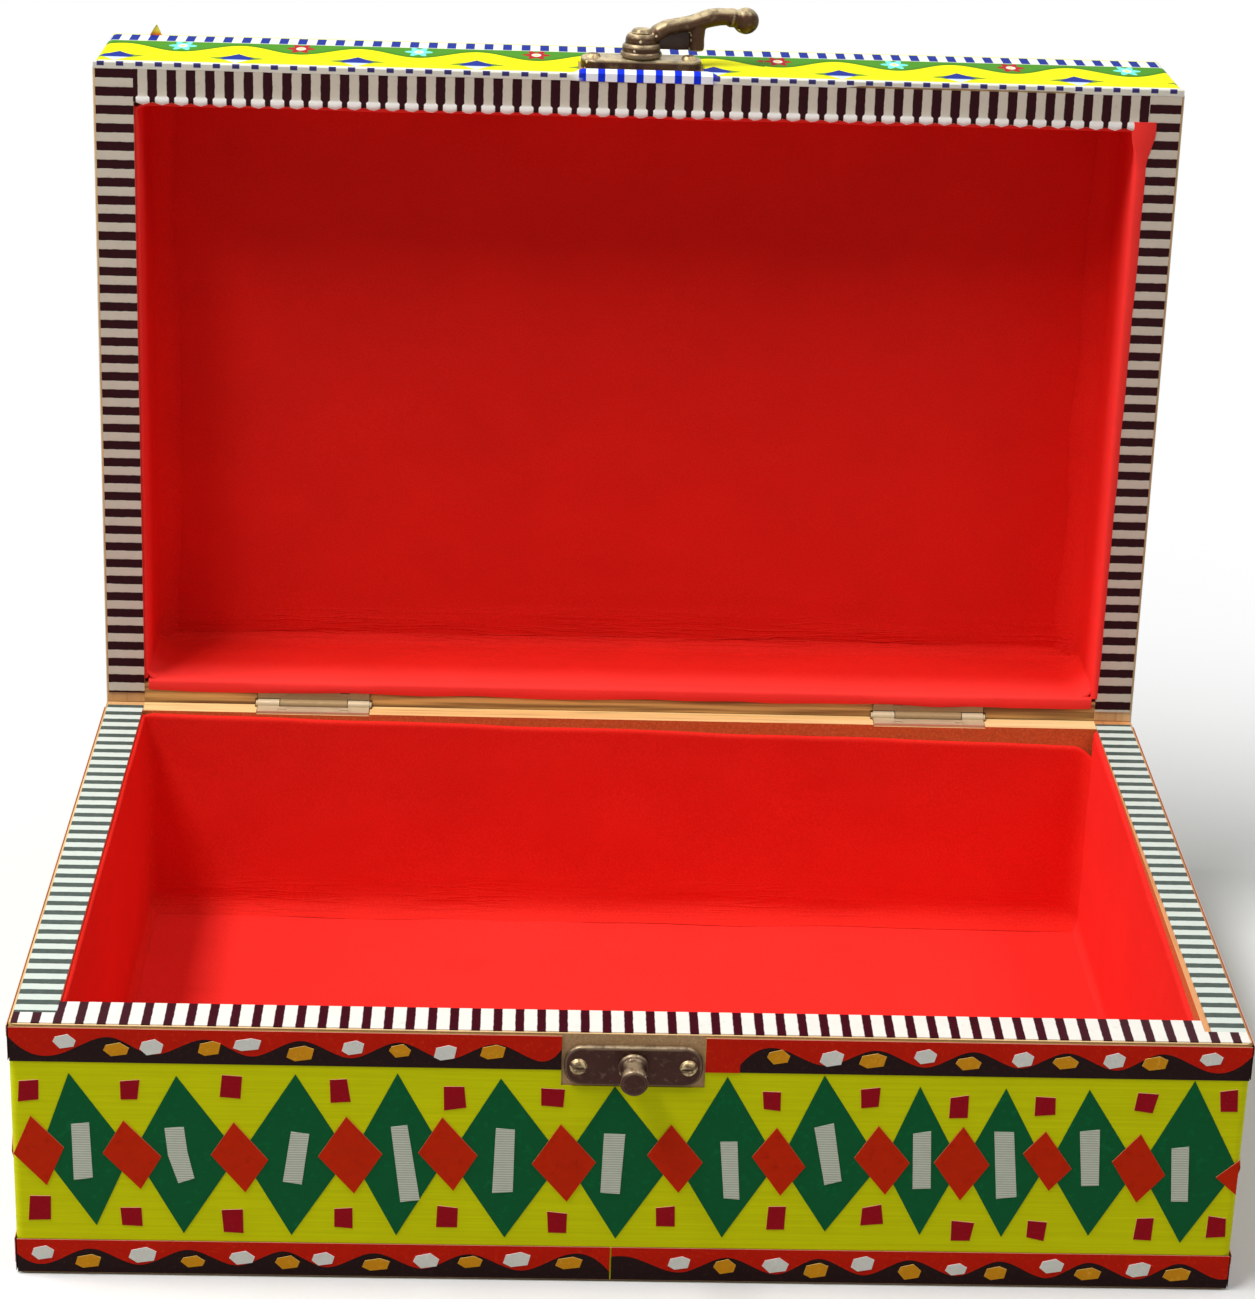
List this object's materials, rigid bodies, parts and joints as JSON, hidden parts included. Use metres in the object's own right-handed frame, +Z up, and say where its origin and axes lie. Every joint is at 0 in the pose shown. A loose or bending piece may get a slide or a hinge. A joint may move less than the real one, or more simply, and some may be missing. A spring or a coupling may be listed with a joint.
{
  "type": "decorative storage box",
  "caption": "Lined wooden storage box with a hinged lid that opens upright, a swing hook latch, and bright cut-vinyl diamonds and wave borders.",
  "frame": {"origin": "middle of the base's underside", "axes": "+X to the right along the front, +Y from the front to the hinged back, +Z up; the lid is open at its stop"},
  "size_m": [0.2514, 0.2093, 0.228],
  "materials": {
    "wood": "bare pale wood, sawn and sanded",
    "board": "brown board",
    "red_lining": "matte red sheet",
    "striped_tape": "black and white striped tape",
    "printed_tape": "printed tape with small flowers",
    "yellow_foil": "yellow vinyl foil",
    "black_vinyl": "black vinyl",
    "red_vinyl": "red reflective vinyl",
    "green_vinyl": "dark green vinyl",
    "orange_vinyl": "orange vinyl",
    "silver_vinyl": "silver vinyl",
    "gold_vinyl": "gold vinyl",
    "maroon_vinyl": "maroon vinyl",
    "steel": "plain steel",
    "brass": "plated brass",
    "bronze": "dark antique bronze"
  },
  "bodies": {
    "base": {"base_back_lining": "red_lining", "base_back_panel": "wood", "base_border_strips": "black_vinyl", "base_bottom_panel": "board", "base_floor_lining": "red_lining", "base_front_lining": "red_lining", "base_front_panel": "wood", "base_front_rim_tape": "striped_tape", "base_gold_pebbles": "gold_vinyl", "base_green_diamonds": "green_vinyl", "base_left_lining": "red_lining", "base_left_panel": "wood", "base_left_rim_tape": "striped_tape", "base_maroon_squares": "maroon_vinyl", "base_orange_diamonds": "orange_vinyl", "base_panel_pins": "steel", "base_right_lining": "red_lining", "base_right_panel": "wood", "base_right_rim_tape": "striped_tape", "base_silver_bars": "silver_vinyl", "base_silver_pebbles": "silver_vinyl", "base_wave_strips": "red_vinyl", "base_wrap_foil": "yellow_foil", "catch_plate": "bronze", "catch_post": "bronze", "catch_screws": "brass", "left_hinge_base_leaf": "brass", "right_hinge_base_leaf": "brass", "hinge_pins": "steel", "hinge_base_screws": "brass"},
    "lid": {"lid_back_lining": "red_lining", "lid_back_rail": "wood", "lid_border_strips": "black_vinyl", "lid_front_lining": "red_lining", "lid_front_rail": "wood", "lid_front_rim_tape": "striped_tape", "lid_green_diamonds": "green_vinyl", "lid_left_lining": "red_lining", "lid_left_rail": "wood", "lid_left_rim_tape": "striped_tape", "lid_maroon_squares": "maroon_vinyl", "lid_orange_diamonds": "orange_vinyl", "lid_panel_pins": "steel", "lid_right_lining": "red_lining", "lid_right_rail": "wood", "lid_right_rim_tape": "striped_tape", "lid_side_tape": "printed_tape", "lid_silver_bars": "silver_vinyl", "lid_silver_pebbles": "silver_vinyl", "lid_top_foil": "yellow_foil", "lid_top_lining": "red_lining", "lid_top_panel": "board", "lid_wave_strips": "red_vinyl", "left_hinge_lid_leaf": "brass", "right_hinge_lid_leaf": "brass", "hinge_lid_screws": "brass", "hook_plate": "bronze", "hook_plate_screws": "brass", "hook_rivet": "bronze"},
    "hook": {"latch_hook": "bronze"}
  },
  "joints": [
    {"name": "lid_hinge", "type": "hinge", "parent": "base", "child": "lid", "pos_m": [0, 0.076, 0.0584], "axis": [1, 0, 0], "range_deg": [0, 92]},
    {"name": "hook_swing", "type": "hinge", "parent": "lid", "child": "hook", "pos_m": [0, 0.09236, 0.21442], "axis": [0, -0.0349, -0.9994], "range_deg": [-78, 102]}
  ]
}
